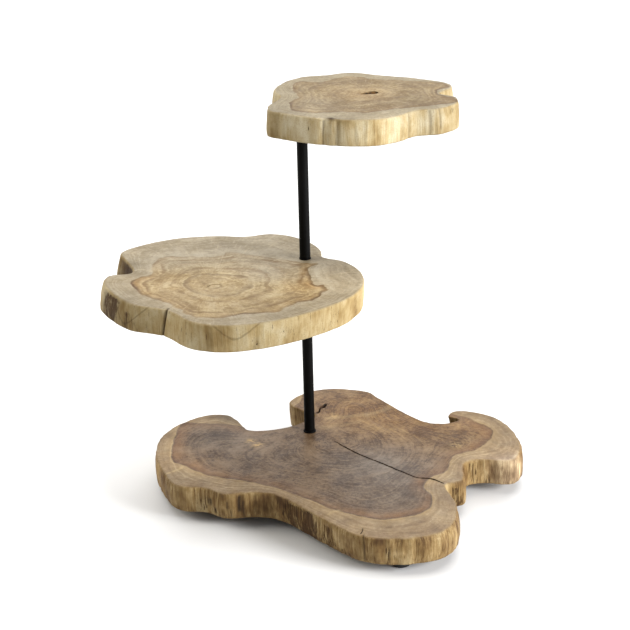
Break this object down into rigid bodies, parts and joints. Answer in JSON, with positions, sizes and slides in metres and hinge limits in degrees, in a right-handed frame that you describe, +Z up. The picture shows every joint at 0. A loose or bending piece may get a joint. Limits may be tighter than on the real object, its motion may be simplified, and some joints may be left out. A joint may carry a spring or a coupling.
{
  "type": "tiered cake stand",
  "caption": "Serving stand of live-edge wood slices, stepped up and offset about a round black iron rod, with rubber feet under the lobed base slice.",
  "frame": {"origin": "on the surface that the stand rests on, under the middle of its bounding box", "axes": "+X towards the base's hooked lobe, +Y away from the base's front lobe, +Z up along the rod"},
  "size_m": [0.4627, 0.3792, 0.429],
  "materials": {
    "base_wood": "satin lacquer over dark heartwood with a pale sapwood border",
    "tier_wood": "satin lacquer over pale, ringed end grain",
    "black_iron": "matte black",
    "zinc_steel": "bright zinc plate",
    "insert_brass": "machined",
    "foot_rubber": "moulded, matte"
  },
  "bodies": {
    "stand": {"base_slab": "base_wood", "lower_rod": "black_iron", "upper_rod": "black_iron", "rod_base_washer": "black_iron", "middle_lower_washer": "black_iron", "middle_upper_washer": "black_iron", "top_washer": "black_iron", "joining_stud": "zinc_steel", "top_stud": "zinc_steel", "base_bolt": "zinc_steel", "base_lock_washer": "zinc_steel", "base_bolt_washer": "zinc_steel", "foot_front": "foot_rubber", "foot_left": "foot_rubber", "foot_right": "foot_rubber", "foot_back": "foot_rubber", "foot_screw_front": "zinc_steel", "foot_screw_left": "zinc_steel", "foot_screw_right": "zinc_steel", "foot_screw_back": "zinc_steel"},
    "middle_tier": {"middle_slab": "tier_wood"},
    "top_tier": {"top_slab": "tier_wood", "top_insert": "insert_brass"}
  },
  "joints": [
    {"name": "middle_tier_swivel", "type": "hinge", "parent": "stand", "child": "middle_tier", "pos_m": [-0.008, 0.0626, 0.2385], "axis": [0, 0, 1], "continuous": true},
    {"name": "top_tier_swivel", "type": "hinge", "parent": "stand", "child": "top_tier", "pos_m": [-0.008, 0.0626, 0.4145], "axis": [0, 0, 1], "continuous": true}
  ]
}
